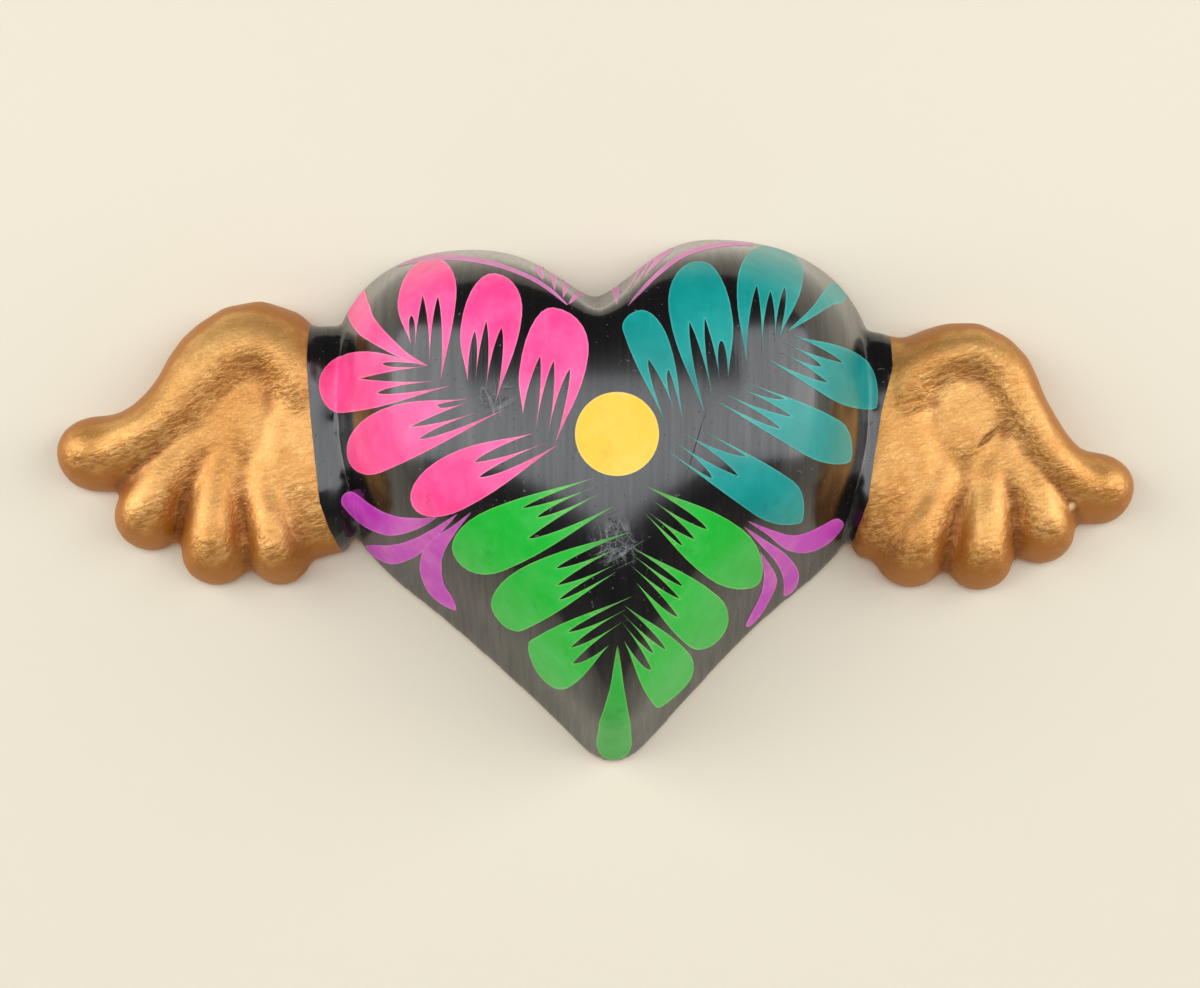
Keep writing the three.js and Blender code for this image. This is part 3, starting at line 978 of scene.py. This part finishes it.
PINK_PETALS = {
    "upper_left": dict(tines=[(411.2, 344.3), (415.5, 346.7), (429.8, 365.1), (440.8, 381)],
                       slits=[(411.4, 315.7), (422.7, 294.9), (438, 296.3)],
                       widest=[(398, 301.4), (456.3, 297.3)], tip=(436, 258)),
    "upper_middle": dict(tines=[(467.8, 381), (475.9, 378), (486.1, 388.2), (496.3, 400.4)],
                         slits=[(474.9, 331), (486.3, 320.8), (501.6, 327.6)],
                         widest=[(460.8, 328), (522, 315.7)], tip=(494.9, 273.5)),
    "upper_right": dict(tines=[(522.9, 413.7), (535.7, 429), (548, 434.1), (555.1, 444.3)],
                        slits=[(540.2, 355.5), (553.7, 360.6), (569.8, 368.8)],
                        widest=[(519.4, 370.8), (588.4, 354.5)], tip=(553.1, 307.6)),
    "left": dict(tines=[(453.1, 385.5), (440.8, 381), (430.6, 366.3), (424.5, 364.7)],
                 slits=[(377.6, 392.7), (360.2, 378.6), (382.7, 363.7)],
                 widest=[(343, 413.1), (357, 351.8)], tip=(318.8, 387.1)),
    "lower_left": dict(tines=[(506.1, 408.6), (480, 411.6), (473, 401), (469.4, 398.6)],
                       slits=[(419.4, 438.6), (410.2, 426.9), (438.8, 405.9)],
                       widest=[(381.6, 472.3), (381.6, 409.6)], tip=(348.5, 461.5)),
    "lowest_left": dict(tines=[(558.8, 444.3), (547.8, 442), (533.7, 433.1)],
                        slits=[(479.2, 476.9), (474.5, 462.2)],
                        widest=[(463.3, 509.2), (446.9, 455.5)], tip=(412.5, 506)),
}
PINK_STROKES = {
    "far_left": dict(path=[(428.6, 366.3), (403, 354.5), (368.4, 328), (358.6, 309.6), (357, 294)],
                     widths=[0, 8, 22, 25, 18]),
}
TEAL_PETALS = {
    "upper_left": dict(tines=[(664.3, 419.8), (674.1, 410.9), (683, 421.8)],
                       slits=[(648.8, 359.5), (668.2, 369.4)],
                       widest=[(622.9, 330.8), (669.2, 341.7)], tip=(637.6, 310.6)),
    "upper_middle": dict(tines=[(704.8, 413.9), (713.1, 400.4), (719.6, 379.7), (728.1, 376.7)],
                         slits=[(689.4, 321.9), (704.8, 318), (721.2, 340.7)],
                         widest=[(668.8, 311.1), (732.1, 315)], tip=(697.9, 260.6)),
    "upper_right": dict(tines=[(746.3, 362.5), (761.5, 352), (774.5, 341), (778.9, 337.7)],
                        slits=[(756.8, 285.4), (770.4, 291.3), (784.3, 287.3)],
                        widest=[(737, 283.4), (803.2, 275.5)], tip=(768, 245.4)),
    "right": dict(tines=[(791.8, 335.2), (782.9, 342.7), (780.9, 352.6), (766.1, 358.5)],
                  slits=[(842.2, 362.9), (821.4, 366.4), (827.8, 382.6)],
                  widest=[(861, 356), (829, 398)], tip=(876.3, 408), pointed=0.75),
    "lower_right": dict(tines=[(743.3, 381.2), (739.4, 388.2), (720.2, 392.1), (713.1, 399)],
                        slits=[(784.9, 399), (791.8, 416.8), (779.9, 428.3)],
                        widest=[(840, 421), (806, 455.5)], tip=(850.6, 462), pointed=0.75),
    "lowest_right": dict(tines=[(699.8, 428.7), (680.1, 431.7), (672.2, 440), (662.3, 447.1)],
                         slits=[(746.3, 456.4), (738.4, 476.1), (711.7, 477.7)],
                         widest=[(793, 481), (755, 515)], tip=(801.6, 522), pointed=0.75),
}
TEAL_STROKES = {
    "far_right": dict(path=[(786.8, 331.8), (812.5, 312.6), (827.5, 299), (835, 294)],
                      widths=[0, 8, 16, 23]),
}
GREEN_PETALS = {
    "upper_left": dict(tines=[(594.1, 478), (596.3, 486.3), (606.3, 490.3), (614.2, 505.9)],
                       slits=[(522.6, 508.2), (537.1, 517.1), (528.2, 538.3)],
                       widest=[(490, 509), (503.7, 570.7)], tip=(453.4, 553.9)),
    "upper_right": dict(tines=[(645.4, 485.8), (650.5, 499), (648, 512), (644.3, 512.6)],
                        slits=[(706.8, 529.4), (694.5, 539.4), (682.2, 545.4)],
                        widest=[(742, 529), (708, 578)], tip=(759.5, 584), pointed=0.45),
    "middle_left": dict(tines=[(630.9, 531.6), (624.2, 545), (618.6, 562.9), (616.4, 571.8)],
                        slits=[(556.1, 568.4), (557.2, 585.2), (559.5, 599.2)],
                        widest=[(530.4, 563.5), (523.8, 630)], tip=(492.5, 611)),
    "middle_right": dict(tines=[(632, 547.2), (629, 552), (629.3, 564), (636.5, 582.9)],
                         slits=[(682.2, 586.3), (679.6, 598.6), (677.8, 616.9)],
                         widest=[(718, 596), (688, 646)], tip=(721, 638)),
    "lower_left": dict(tines=[(632, 596.3), (625.3, 609.7), (622, 622), (608.6, 645.4)],
                       slits=[(568.4, 632.1), (570.6, 647.7), (572.9, 663.3)],
                       widest=[(531, 640), (568.4, 687.9)], tip=(537, 672)),
    "lower_right": dict(tines=[(624.2, 605.3), (623.1, 614.2), (622, 622), (624.2, 641)],
                        slits=[(665.5, 649.9), (653.2, 653.3), (651, 668.9)],
                        widest=[(688, 652), (657, 709)], tip=(684, 688)),
}
GREEN_STROKES = {
    "lowest": dict(path=[(617.5, 645.4), (617, 688), (615, 722), (614, 743)], widths=[0, 14, 31, 36]),
}
YELLOW_DAB = {"middle": (617, 434), "radius": 42, "steps": 72, "tip": (590, 400), "root": (665, 500)}
PURPLE_STROKES = {
    "left_upper": dict(path=[(437.1, 517.2), (416.7, 523.4), (391.2, 525.4), (368.3, 516.2), (350.5, 501)],
                       widths=[0, 11.2, 21, 22, 19]),
    "left_middle": dict(path=[(457.6, 513.7), (437.1, 531), (414.7, 547.3), (393, 554.5), (377, 551),
                              (366.5, 546)], widths=[0, 8, 17, 20, 13, 2]),
    "left_lower": dict(path=[(471.3, 512.1), (454, 529), (435.1, 549.4), (430.8, 568.8), (436.4, 588),
                             (447.5, 600.5), (455.5, 609)], widths=[0, 6.5, 20, 22.5, 18, 13, 3]),
    "right_upper": dict(path=[(747.1, 520.7), (768.8, 532), (789, 542.5), (806.8, 542.9), (824, 535),
                              (837, 524.5)], widths=[0, 6, 15.5, 20, 19, 13]),
    "right_middle": dict(path=[(743.9, 526.6), (763.4, 543), (780.7, 558.1), (790.5, 573.8), (789.4, 586.3),
                               (784.5, 595)], widths=[0, 7, 13, 17, 13, 3]),
    "right_lower": dict(path=[(760.1, 551.6), (766.6, 566.8), (770.2, 580.9), (764.5, 598.2), (754.7, 615.6),
                              (747, 625.4)], widths=[0, 8, 14, 10.5, 9, 4]),
}
LILAC_ARCS = {
    "left": dict(path=[(396, 267.5), (414.7, 260.8), (437.9, 257.4), (459.5, 258), (486, 262),
                       (509.3, 269), (532.5, 278.9), (550.7, 290.5), (567, 304.6)],
                 widths=[0, 4, 6, 5.5, 5, 4, 4, 3.5, 1]),
    "left_tick_a": dict(path=[(543.2, 281.4), (539, 270)], widths=[0, 9]),
    "left_tick_b": dict(path=[(554.9, 291.3), (553, 275)], widths=[0, 9]),
    "left_tick_c": dict(path=[(563.2, 298), (566, 284)], widths=[0, 10]),
    "left_tick_d": dict(path=[(568.1, 304.6), (579, 293)], widths=[0, 9]),
    "right": dict(path=[(627.9, 305.9), (639.4, 292.7), (658.9, 273.2), (681.8, 256), (704.8, 247.6),
                        (727.8, 244), (752, 244.5)], widths=[0, 3, 4, 5, 5, 4.5, 1.5]),
    "right_tick_a": dict(path=[(617, 305.4), (616, 290)], widths=[0, 9]),
    "right_tick_b": dict(path=[(627.9, 291.6), (641.7, 266)], widths=[0, 5]),
    "right_tick_c": dict(path=[(647.4, 274.4), (658, 259.5), (670, 247.5)], widths=[0, 7, 8]),
    "right_tick_d": dict(path=[(639.6, 281), (645, 269.5), (652, 259)], widths=[0, 3, 4]),
}

pink = stroke_paint("pink_enamel", body=tone(255, 66, 140), heel_and_sheen=tone(252, 112, 174),
                    edge=tone(255, 160, 180), shade=tone(206, 40, 100))
teal = stroke_paint("teal_enamel", body=tone(0, 139, 133), heel_and_sheen=tone(24, 160, 154),
                    edge=tone(104, 192, 178), shade=tone(0, 112, 112))
green = stroke_paint("green_enamel", body=tone(14, 182, 48), heel_and_sheen=tone(70, 192, 84),
                     edge=tone(150, 206, 104), shade=tone(18, 118, 40))
yellow = stroke_paint("yellow_enamel", body=tone(250, 196, 40), heel_and_sheen=tone(252, 212, 92),
                      edge=tone(222, 216, 140), shade=tone(226, 160, 30))
purple = stroke_paint("purple_enamel", body=tone(196, 46, 186), heel_and_sheen=tone(216, 108, 186),
                      edge=tone(224, 140, 200), shade=tone(150, 30, 140))
lilac = stroke_paint("lilac_enamel", body=tone(206, 96, 168), heel_and_sheen=tone(214, 126, 178),
                     edge=tone(218, 146, 186), shade=tone(150, 60, 120))

painted("pink_fan", petals(PINK_PETALS) + plain_strokes(PINK_STROKES), pink, cell=3)
painted("teal_fan", petals(TEAL_PETALS) + plain_strokes(TEAL_STROKES), teal, cell=3)
painted("green_fan", petals(GREEN_PETALS) + plain_strokes(GREEN_STROKES), green, cell=4)
painted("purple_side_strokes", plain_strokes(PURPLE_STROKES), purple, cell=3)
painted("lilac_shoulder_strokes", plain_strokes(LILAC_ARCS), lilac, cell=2)

dab_middle = point(YELLOW_DAB["middle"])
dab_outline = []
for step in range(YELLOW_DAB["steps"]):
    turn = 2 * pi * step / YELLOW_DAB["steps"]
    dab_outline.append(dab_middle + Vector((cos(turn), sin(turn), 0)) * YELLOW_DAB["radius"])
painted("yellow_dab", [(dab_outline, YELLOW_DAB["tip"], YELLOW_DAB["root"])], yellow, cell=4)


# Camera

FILM_WIDTH = 36

view = bpy.data.cameras.new("view")
view.sensor_width = FILM_WIDTH
view.lens = FILM_WIDTH * VIEW_DISTANCE / (PICTURE_WIDTH * PIXEL)
view.clip_start = 10 * MM
camera = bpy.data.objects.new("view", view)
camera.location = EYE
camera.rotation_euler = (pi / 2 + VIEW_PITCH, 0, 0)
bpy.context.scene.collection.objects.link(camera)
bpy.context.scene.camera = camera


# Stage: a pale wall close behind, a pale floor below, soft lamps

WALL_MIDDLE = (0, 0.6 * MM, -0.35)
WALL_SIZE = (4, 2.3)
FLOOR_MIDDLE = (0, 0, -1.5)
FLOOR_SIZE = (4, 4)
CARD_SIZE = (1.1, 0.6)
CARD_ASIDE = 1.5
CARD_FRONT = -0.3
CARD_HEIGHT = -0.12
BLACK = (0, 0, 0, 1)
MATT = 0.9
UPRIGHT = (pi / 2, 0, 0)


def stage_finish(name, colour, seen_through=False, shown_pale=False):
    """A matt finish, which may be shown pale as it is, or be clear from behind and to light from there."""
    finish = Finish(name)
    finish.set(base_color=colour, roughness=MATT)
    if shown_pale:
        shown = finish.node("LightPath", output="Is Camera Ray")
        for ray in ("Is Glossy Ray", "Is Transmission Ray"):
            shown = shown + finish.node("LightPath", output=ray)
        finish.set(emission_color=finish.blend(shown, BLACK, colour), emission_strength=1)
    if seen_through:
        looked_at = finish.node("LightPath", output="Is Camera Ray")
        lit = finish.node("LightPath", output="Is Shadow Ray")
        from_behind = finish.node("NewGeometry", output="Backfacing")
        clear = finish.node("Math", {"operation": "MAXIMUM"}, {0: looked_at * from_behind, 1: lit})
        mixed = finish.node("MixShader", inputs={
            0: clear, 1: Wire(finish, finish.surface.outputs[0]), 2: finish.node("BsdfTransparent"),
        })
        finish.join(finish.output.inputs["Surface"], mixed)
    return finish.material


def stage_plane(name, middle, size, turn, finish):
    bm = bmesh.new()
    bmesh.ops.create_grid(bm, x_segments=1, y_segments=1, size=0.5)
    piece = from_bmesh(name, bm)
    piece.location = middle
    piece.rotation_euler = turn
    piece.scale = (size[0], size[1], 1)
    piece.data.materials.append(finish)


stage_plane("wall", WALL_MIDDLE, WALL_SIZE, UPRIGHT,
            stage_finish("pale_wall", tone(226, 217, 196), seen_through=True))
stage_plane("floor", FLOOR_MIDDLE, FLOOR_SIZE, (0, 0, 0), stage_finish("pale_floor", tone(232, 228, 220)))
for name, side in (("left_card", -1), ("right_card", 1)):
    stage_plane(name, (side * CARD_ASIDE, CARD_FRONT, CARD_HEIGHT), CARD_SIZE, (0, -side * pi / 2, 0),
                stage_finish("pale_" + name, tone(206, 200, 188), shown_pale=True))


def lamp(name, place, aim, size, power):
    light = bpy.data.lights.new(name, "AREA")
    light.shape = "RECTANGLE"
    light.size = size[0]
    light.size_y = size[1]
    light.energy = power
    light.color = DAYLIGHT
    holder = bpy.data.objects.new(name, light)
    holder.location = place
    holder.rotation_euler = (Vector(aim) - Vector(place)).to_track_quat("-Z", "Y").to_euler()
    bpy.context.scene.collection.objects.link(holder)


# Three windows round the front, whose image is the grey band on the dome, and a light behind that falls
# through the wall on the back of the ornament alone
DAYLIGHT = (0.95, 0.97, 1)
WINDOW_GLOW = 3 * pi  # watts to a square metre
WINDOW_AIM = 0.4  # a window looks at the ornament's height and a share of its own above it
SUN_GLOW = 1.6
SUN_SPREAD = radians(4)
SUN_TILT = radians(-78)
ROOM_COLOUR = (0.9, 0.9, 0.92, 1)
ROOM_GLOW = 0.1

for name, place, size in (
    ("front_window", (0, -0.9, 0.01), (1.24, 0.43)),
    ("left_window", (-0.81, -0.46, 0.17), (0.97, 0.78)),
    ("right_window", (0.81, -0.46, 0.17), (0.97, 0.78)),
):
    lamp(name, place, (0, 0, place[2] * WINDOW_AIM), size, WINDOW_GLOW * size[0] * size[1])
sun = bpy.data.lights.new("behind", "SUN")
sun.energy = SUN_GLOW
sun.angle = SUN_SPREAD
holder = bpy.data.objects.new("behind", sun)
holder.rotation_euler = (SUN_TILT, 0, 0)
bpy.context.scene.collection.objects.link(holder)

world = bpy.data.worlds.new("room")
world.use_nodes = True
bpy.context.scene.world = world
room = world.node_tree.nodes["Background"]
room.inputs["Color"].default_value = ROOM_COLOUR
room.inputs["Strength"].default_value = ROOM_GLOW

bpy.context.scene.view_settings.view_transform = "Standard"

bpy.context.view_layer.update()
